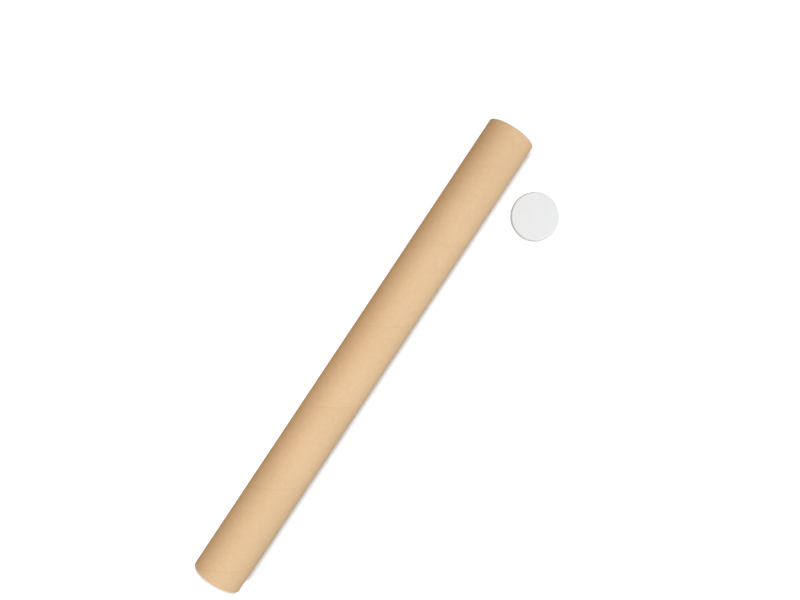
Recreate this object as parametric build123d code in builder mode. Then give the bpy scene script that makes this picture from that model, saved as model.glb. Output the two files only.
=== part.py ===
from build123d import *
import os
from math import cos, radians, sin, tan

os.makedirs("parts", exist_ok=True)

# A kraft board mailing tube lying on its side, with a white push-in cap in one end
# and the other end's cap pulled out and set down beside the open mouth.
# Millimetres, +Z up. The tube lies along X with its mouth towards +X. The origin is
# on the supporting surface, under the middle of everything that stands on it.

# Tube, wound from board and sawn square
tube_length = 650.0
bore_diameter = 60.0
tube_wall = 1.5
cut_edge_chamfer = 0.2

# Cap flange, the part that stays outside the tube
flange_setback = 0.2  # from the tube's outside in to the flange's edge
flange_thickness = 3.0
flange_edge_radius = 2.2
edge_flats = 5  # that the rounded edge is made of
flange_back_chamfer = 0.3

# Cap plug, the part that goes into the bore
plug_depth = 9.0
plug_clearance = 0.05  # between the plug's ribs and the bore
land_depth = 2.5  # full-round band next to the flange, as wide as the ribs
skirt_wall = 1.2
skirt_draft = 1.0  # degrees, both sides, so that the moulding leaves its tool
plate_thickness = 2.0  # of the flat face, which closes the plug
inner_corner = 1.0  # leg of the thickened corner between plate and skirt
lead_in_height = 1.2
lead_in_width = 0.35
gate_diameter = 4.0  # where the plastic was fed in, at the middle of the inner side
gate_height = 0.4

# Grip ribs round the plug
rib_count = 8
rib_width = 1.6
rib_height = 0.35

# Where the pulled cap was set down
loose_cap_gap = 23.0  # between the tube's side and the loose cap's edge
loose_cap_back = 63.0  # from the mouth back to the loose cap's centre

# Radii that follow from the sizes above
bore_radius = bore_diameter / 2
tube_radius = bore_radius + tube_wall
flange_radius = tube_radius - flange_setback
land_radius = bore_radius - plug_clearance
skirt_radius = land_radius - rib_height
inner_radius = skirt_radius - skirt_wall

# Heights along the cap's axis, from the flange's back face, which seats on the tube
floor_height = flange_thickness - plate_thickness
lead_in_top = lead_in_height - plug_depth
skirt_tip_radius = skirt_radius - (plug_depth - land_depth - lead_in_height) * tan(radians(skirt_draft))
inner_tip_radius = inner_radius + (plug_depth + floor_height - inner_corner) * tan(radians(skirt_draft))
tip_radius = skirt_tip_radius - lead_in_width

# Places: the tube and both caps lie evenly round the origin
sawn_end_x = -(tube_length - flange_thickness) / 2
mouth_x = sawn_end_x + tube_length
tube_y = (2 * flange_radius + loose_cap_gap) / 2
loose_cap_x = mouth_x - loose_cap_back
loose_cap_y = tube_y - tube_radius - loose_cap_gap - flange_radius

# Each plane stands on the tube's or a cap's axis and looks out along it
winding_start = Plane(origin=(sawn_end_x, tube_y, tube_radius), x_dir=(0, 1, 0), z_dir=(1, 0, 0))
fitted_seat = Plane(origin=(sawn_end_x, tube_y, tube_radius), x_dir=(0, 1, 0), z_dir=(-1, 0, 0))
loose_seat = Plane(origin=(loose_cap_x, loose_cap_y, plug_depth), x_dir=(0, 1, 0), z_dir=(0, 0, 1))


def half_section(seat):
    """The plane that holds a cap's axis: its X is the radius and its Y the height above the seat."""
    return Plane(origin=seat.origin, x_dir=seat.x_dir, z_dir=seat.x_dir.cross(seat.z_dir))


def grip_ribs(seat):
    """A ring of upright ribs, round-crested at the land's radius and sloped off at the plug's tip."""
    with BuildPart() as ribs:
        with BuildSketch(seat.offset(-plug_depth)):
            with PolarLocations(land_radius, rib_count):
                Rectangle(2 * (rib_height + skirt_wall / 2), rib_width)
            Circle(land_radius, mode=Mode.INTERSECT)
        extrude(amount=plug_depth - land_depth)
        with BuildSketch(half_section(seat)):
            Polygon(
                (0, -land_depth),
                (land_radius, -land_depth),
                (land_radius, lead_in_top),
                (tip_radius, -plug_depth),
                (0, -plug_depth),
                align=None,
            )
        revolve(axis=Axis(seat.origin, seat.z_dir), mode=Mode.INTERSECT)
    return ribs


def end_cap(seat):
    """One moulded cap, its flange's back face on the seat plane and its plug behind it."""
    ribs = grip_ribs(seat)
    edge_centre = (flange_radius - flange_edge_radius, flange_thickness - flange_edge_radius)
    edge_turns = [radians(90 * step / edge_flats) for step in range(edge_flats + 1)]
    with BuildPart() as cap:
        with BuildSketch(half_section(seat)):
            with BuildLine():
                # round the half section as (radius, height): the flat face,
                Polyline(
                    (0, flange_thickness),
                    # the flange's edge, rounded in a few flats,
                    *[
                        (
                            edge_centre[0] + flange_edge_radius * sin(turn),
                            edge_centre[1] + flange_edge_radius * cos(turn),
                        )
                        for turn in edge_turns
                    ],
                    # the flange's back with its outer corner taken off,
                    (flange_radius, flange_back_chamfer),
                    (flange_radius - flange_back_chamfer, 0),
                    # the land, the drafted skirt and its lead-in,
                    (land_radius, 0),
                    (land_radius, -land_depth),
                    (skirt_radius, -land_depth),
                    (skirt_tip_radius, lead_in_top),
                    (tip_radius, -plug_depth),
                    # and back up inside, over the strengthened corner, to the axis
                    (inner_tip_radius, -plug_depth),
                    (inner_radius, floor_height - inner_corner),
                    (inner_radius - inner_corner, floor_height),
                    (0, floor_height),
                    close=True,
                )
            make_face()
        revolve(axis=Axis(seat.origin, seat.z_dir))
        add(ribs.part)
        with BuildSketch(seat.offset(floor_height)):
            Circle(gate_diameter / 2)
        extrude(amount=-gate_height)
    return cap


with BuildPart() as tube:
    with BuildSketch(winding_start):
        Circle(tube_radius)
        Circle(bore_radius, mode=Mode.SUBTRACT)
    extrude(amount=tube_length)
    chamfer(tube.edges().filter_by(GeomType.CIRCLE), length=cut_edge_chamfer)
tube.part.label = "tube"
export_step(tube.part, "parts/tube.step")

end_cap_fitted = end_cap(fitted_seat)
end_cap_fitted.part.label = "end_cap_fitted"
export_step(end_cap_fitted.part, "parts/end_cap_fitted.step")

end_cap_loose = end_cap(loose_seat)
end_cap_loose.part.label = "end_cap_loose"
export_step(end_cap_loose.part, "parts/end_cap_loose.step")
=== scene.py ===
import bpy
import numpy as np
from mathutils import Matrix, Vector


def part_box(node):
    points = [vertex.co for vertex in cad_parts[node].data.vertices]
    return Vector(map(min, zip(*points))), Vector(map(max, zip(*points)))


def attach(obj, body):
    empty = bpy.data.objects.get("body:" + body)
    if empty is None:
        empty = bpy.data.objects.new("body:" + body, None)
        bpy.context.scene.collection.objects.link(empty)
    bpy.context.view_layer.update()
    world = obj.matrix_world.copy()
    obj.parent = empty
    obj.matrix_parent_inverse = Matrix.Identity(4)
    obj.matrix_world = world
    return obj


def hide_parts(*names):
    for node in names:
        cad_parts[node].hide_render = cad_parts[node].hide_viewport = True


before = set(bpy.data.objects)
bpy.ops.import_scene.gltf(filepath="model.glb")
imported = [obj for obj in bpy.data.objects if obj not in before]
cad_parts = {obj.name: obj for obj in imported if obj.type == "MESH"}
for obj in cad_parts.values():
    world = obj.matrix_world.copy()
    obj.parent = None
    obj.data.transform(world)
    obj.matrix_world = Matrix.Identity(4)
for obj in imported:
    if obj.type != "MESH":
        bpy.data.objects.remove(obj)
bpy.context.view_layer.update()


# The board tube: an outer strip of brown kraft paper over plies of grey-brown board, wound on a
# mandrel side by side along a screw line, glued into one wall and sawn square at both ends.
# Only the strip's own butting edges show, as a hairline that runs round the tube like a screw.
mm = 0.001
tube_low, tube_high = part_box("tube")
tube_length = tube_high.x - tube_low.x
tube_radius = (tube_high.z - tube_low.z) / 2
wall = 1.5 * mm
bore_radius = tube_radius - wall
axis_y = (tube_low.y + tube_high.y) / 2
axis_z = (tube_low.z + tube_high.z) / 2

# how the strips are wound
winding_pitch = 115 * mm  # along the tube for one turn of a strip
strip_lean = np.arctan2(winding_pitch, 2 * np.pi * tube_radius)
strip_width = winding_pitch * np.cos(strip_lean)
seam_start = 0.53  # radians round from +Y, where the seam meets the closed end
seam_half_width = 0.25 * mm
seam_depth = 0.12 * mm
hidden_seam_half_width = 2.2 * mm  # an inner ply's seam, felt through the outer strip
hidden_seam_depth = 0.035 * mm

# the sawn rim: its two rounded corners, and the plies that it shows
rim_round = 0.2 * mm
kraft_ply = 0.32 * mm
board_ply = 0.42 * mm
ply_line_count = 3
ply_line_half_width = 0.035 * mm
ply_line_depth = 0.05 * mm

# how fine the mesh is: rings along it, columns round it, and places beside a line in half widths
outer_rings = 430
bore_rings = 320
rim_round_rings = 5
even_columns = 84
beside_seam = np.array([0.25, 0.5, 0.75, 1, 1.4, 2, 3])
beside_hidden_seam = np.array([0.4, 0.8, 1.2])
beside_ply_line = np.array([0.5, 1.0, 1.6])
clear_of_seam = 4.5 * seam_half_width  # no even column is this near
clear_of_hidden_seam = 1.4 * hidden_seam_half_width

paper_slot, cut_slot, liner_slot = range(3)  # the tube's materials, in order


def both_sides(places):
    """The line itself, and the places on both sides of it."""
    return np.concatenate([-places[::-1], [0], places])


def bump_of(distance, half_width):
    """1 on the line and 0 past half_width of it: (1 - (distance / half_width)^2)^2."""
    return np.clip(1 - (distance / half_width) ** 2, 0, None) ** 2


def strip_columns():
    """Angles round the tube from the strip's seam: even steps, and close ones at the two seams.

    The outer seam is at 0 and the inner plies' seam half a turn on. An even step is left out where
    its chord from a seam, 2 R sin(angle / 2), is short."""
    close = both_sides(beside_seam) * seam_half_width / tube_radius
    wide = both_sides(beside_hidden_seam) * hidden_seam_half_width / tube_radius
    even = np.linspace(0, 2 * np.pi, even_columns, endpoint=False)
    from_seam = 2 * tube_radius * np.abs(np.sin(even / 2))
    from_hidden_seam = 2 * tube_radius * np.abs(np.sin((even - np.pi) / 2))
    clear = (from_seam > clear_of_seam) & (from_hidden_seam > clear_of_hidden_seam)
    columns = np.concatenate([even[clear], close, close + np.pi, wide + np.pi])
    return np.unique(np.mod(columns, 2 * np.pi))


def rows_of(station, radius, outer_seam, bore_seam, slot):
    """Rings as rows: station along the tube, radius, share of each seam, and material slot."""
    return np.stack(np.broadcast_arrays(station, radius, outer_seam, bore_seam, slot), 1)


def rim_rows():
    """The mouth's rim, from the outer face in to the bore: a corner, the ply lines and a corner.

    Each corner is a quarter circle: as t turns from 0 to 90 degrees, it steps in from the outer
    face by round * (1 - cos t) and comes within round * (1 - sin t) of the end. The ply lines sink
    by depth * bump."""
    turn = np.linspace(0, np.pi / 2, rim_round_rings)
    outer_turn, bore_turn = turn[1:], turn[:-1]
    outer_corner = rows_of(
        tube_length - rim_round * (1 - np.sin(outer_turn)),
        tube_radius - rim_round * (1 - np.cos(outer_turn)),
        1 - np.sin(outer_turn),
        0,
        cut_slot,
    )
    line_radius = tube_radius - kraft_ply - board_ply * np.arange(ply_line_count)
    beside = both_sides(beside_ply_line)[::-1] * ply_line_half_width
    sink = np.tile(bump_of(beside, ply_line_half_width), ply_line_count) * ply_line_depth
    ply_lines = rows_of(
        tube_length - sink,
        (line_radius[:, None] + beside).ravel(),
        0,
        0,
        cut_slot,
    )
    bore_corner = rows_of(
        tube_length - rim_round * (1 - np.cos(bore_turn)),
        bore_radius + rim_round * (1 - np.sin(bore_turn)),
        0,
        0,
        cut_slot,
    )
    return np.concatenate([outer_corner, ply_lines, bore_corner])


def wound_wall():
    """The wall as rings of points, with their UV and slots: outer face, rim, bore, other rim.

    At station x a column's angle is column + start + 2 pi x / pitch, so that it follows the strip
    along its screw line. The outer radius is R - depth * bump at each seam, and the bore's is
    r + depth * bump. The UV is the place on the unrolled strip, in metres along and across it:
    (R (column + 2 pi x / pitch), x) turned by the strip's lean."""
    outward = np.linspace(rim_round, tube_length - rim_round, outer_rings)
    homeward = np.linspace(tube_length - rim_round, rim_round, bore_rings)
    rim = rim_rows()
    other_rim = rim[::-1] * [-1, 1, 1, 1, 1] + [tube_length, 0, 0, 0, 0]
    outer_face = rows_of(outward, tube_radius, 1, 0, paper_slot)
    bore_face = rows_of(homeward, bore_radius, 0, 1, liner_slot)
    rows = np.concatenate([outer_face, rim, bore_face, other_rim])
    station, radius, outer_share, bore_share = (part[:, None] for part in rows.T[:4])

    column = strip_columns()
    from_seam = np.minimum(column, 2 * np.pi - column) * tube_radius
    from_hidden_seam = np.abs(column - np.pi) * tube_radius
    outer_sink = seam_depth * bump_of(from_seam, seam_half_width)
    outer_sink += hidden_seam_depth * bump_of(from_hidden_seam, hidden_seam_half_width)
    bore_sink = seam_depth * bump_of(from_hidden_seam, seam_half_width)
    radius = radius - (outer_share * outer_sink - bore_share * bore_sink)
    angle = column + seam_start + 2 * np.pi * station / winding_pitch
    x = np.broadcast_to(tube_low.x + station, angle.shape)
    y = axis_y + radius * np.cos(angle)
    z = axis_z + radius * np.sin(angle)

    whole_turn = np.append(column, column[0] + 2 * np.pi)
    unrolled = (whole_turn + 2 * np.pi * station / winding_pitch) * tube_radius
    along = unrolled * np.cos(strip_lean) + station * np.sin(strip_lean)
    across = station * np.cos(strip_lean) - unrolled * np.sin(strip_lean)
    return np.stack([x, y, z], -1), np.stack([along, across], -1), rows[:, 4]


def smooth_piece(name, vertices, faces):
    """A smoothly shaded piece in the scene, from its vertices and faces."""
    mesh = bpy.data.meshes.new(name)
    mesh.from_pydata(vertices, [], faces)
    mesh.polygons.foreach_set("use_smooth", np.ones(len(faces), bool))
    mesh.update()
    piece = bpy.data.objects.new(name, mesh)
    bpy.context.scene.collection.objects.link(piece)
    return piece


def piece_of_rings(name, rings, uv, ring_slots):
    """A piece from rings of points, shaped (ring, column, xyz), of which the last joins the first.

    A face goes round as (i, j+1), (i+1, j+1), (i+1, j), (i, j) from ring i and column j, so that
    it is halved along the diagonal closest to the tube's length. uv has one column more than the
    rings, so that the strip's pattern can end at its seam."""
    ring_count, column_count = rings.shape[:2]
    i = np.repeat(np.arange(ring_count), column_count)
    j = np.tile(np.arange(column_count), ring_count)
    i_next = (i + 1) % ring_count
    j_next = (j + 1) % column_count
    here, there = i * column_count, i_next * column_count
    faces = np.stack([here + j_next, there + j_next, there + j, here + j], 1)
    face_uv = np.stack([uv[i, j + 1], uv[i_next, j + 1], uv[i_next, j], uv[i, j]], 1)
    piece = smooth_piece(name, rings.reshape(-1, 3), faces.tolist())
    strip_uv = piece.data.uv_layers.new(name="strip")
    strip_uv.data.foreach_set("uv", face_uv.astype(np.float32).ravel())
    piece.data.polygons.foreach_set("material_index", ring_slots[i].astype(np.int32))
    return piece


tube = piece_of_rings("mailing_tube", *wound_wall())


def new_paint(name):
    """A material with nodes, and its node tree."""
    paint = bpy.data.materials.new(name)
    paint.use_nodes = True
    return paint, paint.node_tree


def strip_place(tree):
    """The place on the unrolled strip, in metres along it and across it."""
    strip = tree.nodes.new("ShaderNodeUVMap")
    strip.uv_map = "strip"
    return strip.outputs["UV"]


def object_place(tree):
    """The place in the piece's own coordinates, in metres."""
    return tree.nodes.new("ShaderNodeTexCoord").outputs["Object"]


def drawn_out(tree, place, along, across):
    """The place with its first two coordinates times a factor each, which stretches a pattern."""
    lie = tree.nodes.new("ShaderNodeMapping")
    lie.inputs["Scale"].default_value = (along, across, 1)
    tree.links.new(place, lie.inputs["Vector"])
    return lie.outputs["Vector"]


def add_noise(tree, place, scale, detail, roughness=0.5):
    """Noise over a place, around a half."""
    noise = tree.nodes.new("ShaderNodeTexNoise")
    noise.inputs["Scale"].default_value = scale
    noise.inputs["Detail"].default_value = detail
    noise.inputs["Roughness"].default_value = roughness
    tree.links.new(place, noise.inputs["Vector"])
    return noise.outputs["Fac"]


def add_math(tree, operation, *terms):
    """One step of arithmetic on sockets and plain numbers."""
    step = tree.nodes.new("ShaderNodeMath")
    step.operation = operation
    for socket, term in zip(step.inputs, terms):
        if isinstance(term, float):
            socket.default_value = term
        else:
            tree.links.new(term, socket)
    return step.outputs["Value"]


def add_range(tree, share, start, end, at_start, at_end):
    """A value that goes evenly from at_start to at_end as the share goes from start to end."""
    step = tree.nodes.new("ShaderNodeMapRange")
    step.inputs["From Min"].default_value = start
    step.inputs["From Max"].default_value = end
    step.inputs["To Min"].default_value = at_start
    step.inputs["To Max"].default_value = at_end
    tree.links.new(share, step.inputs["Value"])
    return step.outputs["Result"]


def add_tones(tree, share, dark, light, start=0.3, end=0.7):
    """A colour that goes from dark to light as the share goes from start to end."""
    ramp = tree.nodes.new("ShaderNodeValToRGB")
    low, high = ramp.color_ramp.elements
    low.position, high.position = start, end
    low.color, high.color = (*dark, 1), (*light, 1)
    tree.links.new(share, ramp.inputs["Fac"])
    return ramp.outputs["Color"]


def add_relief(tree, height, strength, depth):
    """Fine relief of that depth on the shader."""
    relief = tree.nodes.new("ShaderNodeBump")
    relief.inputs["Strength"].default_value = strength
    relief.inputs["Distance"].default_value = depth
    tree.links.new(height, relief.inputs["Height"])
    tree.links.new(relief.outputs["Normal"], tree.nodes["Principled BSDF"].inputs["Normal"])


def kraft_paper():
    """Outer strip: uncoated brown kraft with clouds, fibres and darker shives along the strip.

    The brown follows 0.25 drift + 0.4 clouds + 0.35 fibres. The shives darken it, and a painted
    shade darkens it along the strip's butting edges, in the seam's groove, by the distance from
    the nearer edge."""
    paint, tree = new_paint("kraft_paper")
    strip = strip_place(tree)
    drift = add_noise(tree, strip, scale=9, detail=1)
    clouds = add_noise(tree, strip, scale=150, detail=5, roughness=0.6)
    fibres = add_noise(tree, drawn_out(tree, strip, 0.22, 1.6), scale=2200, detail=3)
    tone = add_math(tree, "MULTIPLY", drift, 0.25)
    tone = add_math(tree, "MULTIPLY_ADD", clouds, 0.4, tone)
    tone = add_math(tree, "MULTIPLY_ADD", fibres, 0.35, tone)
    brown = add_tones(tree, tone, dark=(0.673, 0.467, 0.271), light=(0.768, 0.552, 0.348))
    shives = add_noise(tree, drawn_out(tree, strip, 0.3, 1.3), scale=1500, detail=1)
    shive_shade = add_range(tree, shives, start=0.66, end=0.76, at_start=1.0, at_end=0.76)
    # painted shade in the seam's groove: the brown is darker within 0.45 mm of the strip's butting
    # edges
    across = tree.nodes.new("ShaderNodeSeparateXYZ")
    tree.links.new(strip, across.inputs["Vector"])
    from_edge = add_math(tree, "PINGPONG", across.outputs["Y"], strip_width / 2)
    seam_painted_shade = add_range(
        tree, from_edge, start=0.2 * mm, end=0.45 * mm, at_start=0.93, at_end=1.0
    )
    shaded = tree.nodes.new("ShaderNodeVectorMath")
    shaded.operation = "SCALE"
    tree.links.new(brown, shaded.inputs[0])
    tree.links.new(add_math(tree, "MULTIPLY", shive_shade, seam_painted_shade), shaded.inputs["Scale"])
    add_relief(tree, fibres, strength=0.35, depth=0.05 * mm)
    shader = tree.nodes["Principled BSDF"]
    tree.links.new(shaded.outputs["Vector"], shader.inputs["Base Color"])
    shader.inputs["Roughness"].default_value = 0.7
    shader.inputs["IOR"].default_value = 1.05
    return paint


def cut_board():
    """Sawn rim: the plies' grey-brown board, a little fuzzy from the saw."""
    paint, tree = new_paint("cut_board")
    fuzz = add_noise(tree, object_place(tree), scale=1800, detail=3)
    tone = add_tones(tree, fuzz, dark=(0.62, 0.46, 0.30), light=(0.80, 0.64, 0.45))
    add_relief(tree, fuzz, strength=0.6, depth=0.08 * mm)
    shader = tree.nodes["Principled BSDF"]
    tree.links.new(tone, shader.inputs["Base Color"])
    shader.inputs["Roughness"].default_value = 0.85
    return paint


def bore_liner():
    """Innermost ply: plain board liner, a little greyer and duller than the outer strip."""
    paint, tree = new_paint("bore_liner")
    clouds = add_noise(tree, strip_place(tree), scale=260, detail=6, roughness=0.65)
    tone = add_tones(tree, clouds, dark=(0.58, 0.41, 0.25), light=(0.70, 0.52, 0.34))
    shader = tree.nodes["Principled BSDF"]
    tree.links.new(tone, shader.inputs["Base Color"])
    shader.inputs["Roughness"].default_value = 0.75
    return paint


for paint in (kraft_paper(), cut_board(), bore_liner()):
    tube.data.materials.append(paint)
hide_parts("tube")
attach(tube, "tube")


# The end caps: one shot of soft white polyethylene each. Outside is a flat round flange with a
# rounded edge. Behind it a thin drafted skirt with a full-round land and eight grip ribs plugs
# the bore. One cap is pushed home in the sawn end, the other lies face up beside the mouth.
loose_low, loose_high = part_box("end_cap_loose")
flange_radius = (loose_high.x - loose_low.x) / 2
flange_thickness = 3.0 * mm
plug_depth = (loose_high.z - loose_low.z) - flange_thickness
plate_thickness = 2.0 * mm  # of the flat face, which closes the plug
floor_height = flange_thickness - plate_thickness
plug_clearance = 0.05 * mm  # all round, between the plug's land and ribs and the bore
land_radius = bore_radius - plug_clearance
land_depth = 2.5 * mm
land_step = 0.3 * mm  # height over which the land comes in to the skirt
rib_count = 8
rib_height = 0.35 * mm
rib_half_width = 0.8 * mm
rib_flank = 0.35  # share of the half width that slopes down on each side
rib_angles = np.arange(rib_count) * 2 * np.pi / rib_count
skirt_radius = land_radius - rib_height
skirt_wall = 1.2 * mm
draft = np.tan(np.radians(1.0))
lead_in_height = 1.2 * mm
lead_in_width = 0.35 * mm
lead_in_top = lead_in_height - plug_depth
inner_corner = 1.0 * mm  # leg of the thickened corner inside
gate_radius = 2.0 * mm
gate_height = 0.4 * mm
skirt_tip_radius = skirt_radius - (plug_depth - land_depth - lead_in_height) * draft
inner_radius = skirt_radius - skirt_wall
inner_tip_radius = inner_radius + (plug_depth + floor_height - inner_corner) * draft
tip_radius = skirt_tip_radius - lead_in_width

# how round the moulding's corners are
flange_edge_round = 2.2 * mm
flange_back_round = 0.3 * mm
land_round = 0.1 * mm
lead_in_round = 0.4 * mm
inner_round = 0.6 * mm
sharp_round = 0.12 * mm  # of the others

# how fine the mesh is
arc_points = 7
longest_step = 1.2 * mm  # between rings, so that the ribs can start and end cleanly
cap_even_columns = 128
beside_rib = np.array([0.3, 0.6, 0.8, 1.0, 1.3])  # in half widths of a rib
clear_of_rib = 1.6 * rib_half_width / land_radius  # no even column is this near


def rounded(outline):
    """A profile of (radius, height) from corners of (radius, height, round), each made an arc.

    An arc of radius r starts r / tan(half the corner's angle) before the corner and touches both
    its sides. Its centre lies on the bisector, and its points are steps of even turn."""
    corners = np.array(outline, float)
    places, rounds = corners[:, :2], corners[:, 2]
    points = [places[0]]
    for before, corner, after, radius in zip(places, places[1:], places[2:], rounds[1:]):
        u = (before - corner) / np.linalg.norm(before - corner)
        v = (after - corner) / np.linalg.norm(after - corner)
        half = np.arccos(np.clip(u @ v, -1, 1)) / 2
        centre = corner + (u + v) / np.linalg.norm(u + v) * radius / np.sin(half)
        first = corner + u * radius / np.tan(half) - centre
        last = corner + v * radius / np.tan(half) - centre
        spread = np.pi - 2 * half
        t = np.linspace(0, 1, arc_points)[:, None]
        arc = np.sin((1 - t) * spread) * first + np.sin(t * spread) * last
        points.extend(centre + arc / np.sin(spread))
    points.append(places[-1])
    return np.array(points)


def cap_profile():
    """Half section of a cap as (radius, height over its seat), from the face's middle round to
    the gate mark's, with more points where a step would be long."""
    profile = rounded([
        (0, flange_thickness, 0),
        (flange_radius, flange_thickness, flange_edge_round),
        (flange_radius, 0, flange_back_round),
        (land_radius, 0, sharp_round),
        (land_radius, -land_depth, land_round),
        (skirt_radius, -land_depth - land_step, land_round),
        (skirt_tip_radius, lead_in_top, lead_in_round),
        (tip_radius, -plug_depth, sharp_round),
        (inner_tip_radius, -plug_depth, sharp_round),
        (inner_radius, floor_height - inner_corner, inner_round),
        (inner_radius - inner_corner, floor_height, inner_round),
        (gate_radius, floor_height, sharp_round),
        (gate_radius, floor_height - gate_height, sharp_round),
        (0, floor_height - gate_height, 0),
    ])
    fine = [profile[0]]
    for a, b in zip(profile, profile[1:]):
        steps = 1 + int(np.linalg.norm(b - a) / longest_step)
        fine += [a + (b - a) * k / steps for k in range(1, steps + 1)]
    return np.array(fine)


def from_rib(angle):
    """Turn between each angle and the middle of the nearest rib."""
    return np.abs(np.mod(angle[:, None] - rib_angles + np.pi, 2 * np.pi) - np.pi).min(1)


def cap_columns():
    """Angles round the cap: even steps, with close ones on each side of every rib."""
    even = np.linspace(0, 2 * np.pi, cap_even_columns, endpoint=False)
    close = both_sides(beside_rib) * rib_half_width / land_radius
    near_ribs = (rib_angles[:, None] + close).ravel()
    columns = np.concatenate([even[from_rib(even) > clear_of_rib], near_ribs])
    return np.unique(np.round(np.mod(columns, 2 * np.pi), 9))


def cap_points(seat, out, side):
    """A cap's points, shaped (ring, column, xyz), with its seat's middle, axis and a side given.

    point = seat + out * height + (side * cos a + (out x side) * sin a) * radius. Between the land
    and the lead-in the radius is lifted to the land's on each rib: a flat crest with flanks that
    follow f f (3 - 2 f), where f goes from 0 at the rib's foot to 1 on its crest."""
    radius, height = cap_profile().T
    column = cap_columns()
    flank = (rib_half_width - from_rib(column) * land_radius) / (rib_flank * rib_half_width)
    flank = np.clip(flank, 0, 1)
    crest = flank * flank * (3 - 2 * flank)
    outside = np.arange(len(radius)) < np.argmin(height) + 1
    on_skirt = outside & (height < -land_depth) & (radius > inner_tip_radius)
    slope = np.clip((height + plug_depth) / lead_in_height, 0, 1)
    rib_radius = tip_radius + (land_radius - tip_radius) * slope
    lift = np.clip(np.where(on_skirt, rib_radius - radius, 0), 0, None)
    r = radius[:, None] + lift[:, None] * crest
    out, side = np.array(out, float), np.array(side, float)
    other_side = np.cross(out, side)
    spoke = side * np.cos(column)[:, None] + other_side * np.sin(column)[:, None]
    return np.array(seat) + out * height[:, None, None] + spoke * r[..., None]


def cap_piece(name, points):
    """A cap from its points: quads between the rings, and a fan of triangles at each pole."""
    rings = points[1:-1]
    ring_count, columns = rings.shape[:2]
    vertices = np.concatenate([points[0, :1], rings.reshape(-1, 3), points[-1, :1]])
    i = np.repeat(np.arange(ring_count - 1), columns)
    j = np.tile(np.arange(columns), ring_count - 1)
    j_next = (j + 1) % columns
    first = 1 + i * columns
    quads = np.stack([first + j, first + columns + j, first + columns + j_next, first + j_next], 1)
    k = np.arange(columns)
    k_next = (k + 1) % columns
    last = 1 + (ring_count - 1) * columns
    face_fan = np.stack([np.zeros_like(k), 1 + k, 1 + k_next], 1)
    gate_fan = np.stack([np.full_like(k, len(vertices) - 1), last + k_next, last + k], 1)
    return smooth_piece(name, vertices, quads.tolist() + face_fan.tolist() + gate_fan.tolist())


def white_polyethylene():
    """Soft white plastic with a satin skin: faintly uneven in gloss, tint and relief."""
    paint, tree = new_paint("white_polyethylene")
    flow = add_noise(tree, object_place(tree), scale=90, detail=3)
    gloss = add_range(tree, flow, start=0, end=1, at_start=0.34, at_end=0.46)
    tint = add_tones(
        tree, flow, dark=(0.78, 0.79, 0.80), light=(0.82, 0.83, 0.84), start=0, end=1
    )
    add_relief(tree, flow, strength=0.08, depth=0.1 * mm)
    shader = tree.nodes["Principled BSDF"]
    tree.links.new(gloss, shader.inputs["Roughness"])
    tree.links.new(tint, shader.inputs["Base Color"])
    shader.inputs["IOR"].default_value = 1.51
    shader.inputs["Specular IOR Level"].default_value = 0.2
    return paint


plastic = white_polyethylene()
fitted_seat = (tube_low.x, axis_y, axis_z)
fitted_cap = cap_piece("fitted_cap", cap_points(fitted_seat, out=(-1, 0, 0), side=(0, 1, 0)))
fitted_cap.data.materials.append(plastic)
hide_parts("end_cap_fitted")
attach(fitted_cap, "end_cap")

loose_centre = (loose_low + loose_high) / 2
loose_seat = (loose_centre.x, loose_centre.y, plug_depth)
loose_cap = cap_piece("loose_cap", cap_points(loose_seat, out=(0, 0, 1), side=(0, 1, 0)))
loose_cap.data.materials.append(plastic)
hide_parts("end_cap_loose")
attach(loose_cap, "tube")


# The studio: a pale floor, a white backdrop and six lamps. The picture's white comes from the
# backdrop's strength of 1, and from the floor's own colour under a sun that lights nothing else,
# so that the floor keeps the object's shadow. The soft boxes leave the floor alone.
def looked_at(tree):
    """1 on the rays that make the picture: the camera's own, and on through a shine or glass."""
    path = tree.nodes.new("ShaderNodeLightPath")
    straight = path.outputs["Is Camera Ray"]
    straight_or_shine = add_math(tree, "MAXIMUM", straight, path.outputs["Is Glossy Ray"])
    return add_math(tree, "MAXIMUM", straight_or_shine, path.outputs["Is Transmission Ray"])


def add_choice(tree, share, plain, seen, output):
    """The seen shader where the share is 1 and the plain one where it is 0, into the output."""
    choice = tree.nodes.new("ShaderNodeMixShader")
    tree.links.new(share, choice.inputs["Fac"])
    tree.links.new(plain, choice.inputs[1])
    tree.links.new(seen, choice.inputs[2])
    tree.links.new(choice.outputs["Shader"], tree.nodes[output].inputs["Surface"])


def matt(tree, colour):
    """A matt shader of that colour."""
    shader = tree.nodes.new("ShaderNodeBsdfDiffuse")
    shader.inputs["Color"].default_value = (*colour, 1)
    return shader.outputs["BSDF"]


def white_light(tree, strength):
    """White light of that strength from all round."""
    shader = tree.nodes.new("ShaderNodeBackground")
    shader.inputs["Color"].default_value = (1, 1, 1, 1)
    shader.inputs["Strength"].default_value = strength
    return shader.outputs["Background"]


def pale_floor():
    """Floor paint: pale where it is looked at, and a dull warm grey for the light that it gives
    back to the object."""
    paint, tree = new_paint("pale_floor")
    tree.nodes.remove(tree.nodes["Principled BSDF"])
    bounce = matt(tree, (0.19, 0.16, 0.12))
    seen = matt(tree, (0.8, 0.8, 0.8))
    add_choice(tree, looked_at(tree), bounce, seen, "Material Output")
    return paint


floor_half = 8.0  # metres
floor_turn = ((-1, -1), (1, -1), (1, 1), (-1, 1))
floor_corners = [(x * floor_half, y * floor_half, 0) for x, y in floor_turn]
studio_floor = smooth_piece("studio_floor", floor_corners, [(0, 1, 2, 3)])
studio_floor.data.materials.append(pale_floor())

world = bpy.data.worlds.new("studio")
bpy.context.scene.world = world
world.use_nodes = True
world_tree = world.node_tree
world_tree.nodes.remove(world_tree.nodes["Background"])
surround = white_light(world_tree, 0.25)
backdrop = white_light(world_tree, 1.0)
add_choice(world_tree, looked_at(world_tree), surround, backdrop, "World Output")


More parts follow.
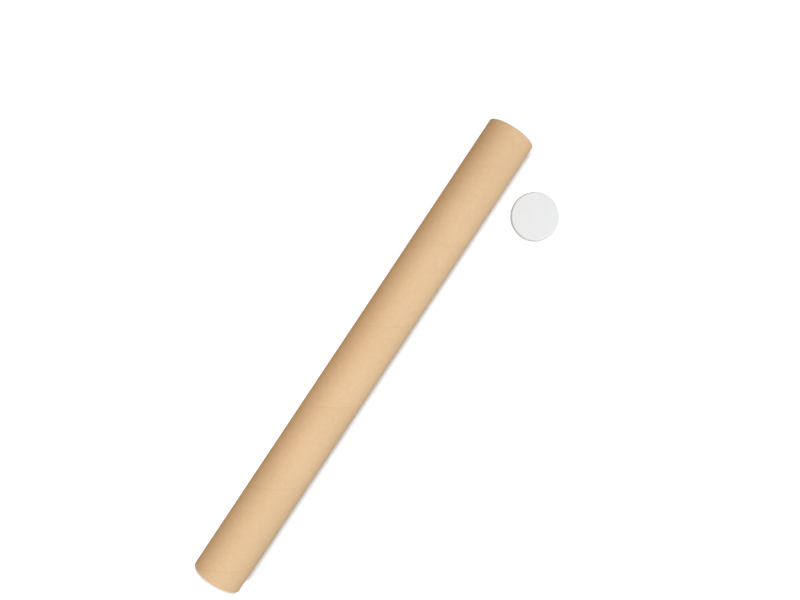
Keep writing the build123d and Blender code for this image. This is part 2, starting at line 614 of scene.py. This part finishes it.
def hang_lamp(name, kind, place, look, energy, lit, colour=(1, 1, 1)):
    """A lamp at a place that looks along a direction and lights what the group lit says."""
    lamp = bpy.data.lights.new(name, kind)
    lamp.energy = energy
    lamp.color = colour
    holder = bpy.data.objects.new(name, lamp)
    holder.location = place
    holder.rotation_mode = "QUATERNION"
    holder.rotation_quaternion = look.to_track_quat("-Z", "Y")
    bpy.context.scene.collection.objects.link(holder)
    holder.light_linking.receiver_collection = lit
    return lamp


def soft_box(name, place, size, power, lit, colour=(1, 1, 1)):
    """A square lamp of that size in metres and power in watts, turned to the object's middle."""
    look = Vector((0, 0, 0)) - Vector(place)
    lamp = hang_lamp(name, "AREA", place, look, power, lit, colour)
    lamp.shape = "SQUARE"
    lamp.size = size


def lit_group(name, *pieces):
    """A group of pieces that a lamp lights, and it lights no others."""
    group = bpy.data.collections.new(name)
    for piece in pieces:
        group.objects.link(piece)
    return group


# the first group is turned round: its lamps light everything but the floor
all_but_floor = lit_group("lit_by_side_lamps", studio_floor)
all_but_floor.collection_objects[0].light_linking.link_state = "EXCLUDE"
floor_alone = lit_group("lit_by_floor_lamp", studio_floor)
closed_end = lit_group("lit_by_closed_end_lamp", tube, fitted_cap)
tube_alone = lit_group("lit_by_warm_lamp", tube)
soft_box("key_light", (-0.5, 0.0, 1.8), size=1.2, power=17.7, lit=all_but_floor)
soft_box("fill_light", (0.27, -0.75, 0.95), size=0.6, power=6.6, lit=all_but_floor)
soft_box("closed_end_light", (-1.2, 0.1, 0.2), size=0.4, power=3.5, lit=closed_end)
soft_box("mouth_light", (1.3, 0.1, 0.15), size=0.4, power=2.2, lit=all_but_floor)
caramel = (1, 0.62, 0.25)  # that the tube's far side turns to
soft_box("warm_side_light", (0, 1.1, 0.45), size=0.4, power=2.6, lit=tube_alone, colour=caramel)
sun_look = Vector((0.12, -0.17, -1))
floor_sun = hang_lamp("floor_sun", "SUN", (0, 0, 0), sun_look, energy=4.0, lit=floor_alone)
floor_sun.angle = np.radians(18)  # wide, so that shadows have soft edges


# The camera looks down on the tube from above its middle, turned so that the mouth is at the top
# right. Its place, aim, turn and lens are those that the tube's outline in the photograph gives.
camera_place = Vector((0.04116, 0.11590, 0.95886))
camera_aim = Vector((0.07769, 0.04368, 0.03150))
picture_right = Vector((0.55248, -0.82904, 0.08633))
back = (camera_place - camera_aim).normalized()
right = (picture_right - back * picture_right.dot(back)).normalized()
up = back.cross(right)
camera = bpy.data.objects.new("camera", bpy.data.cameras.new("camera"))
camera.data.sensor_width = 36
camera.data.lens = 33.97
turn = Matrix((right, up, back)).transposed().to_4x4()
camera.matrix_world = Matrix.Translation(camera_place) @ turn
bpy.context.scene.collection.objects.link(camera)
bpy.context.scene.camera = camera
bpy.context.scene.view_settings.view_transform = "Standard"
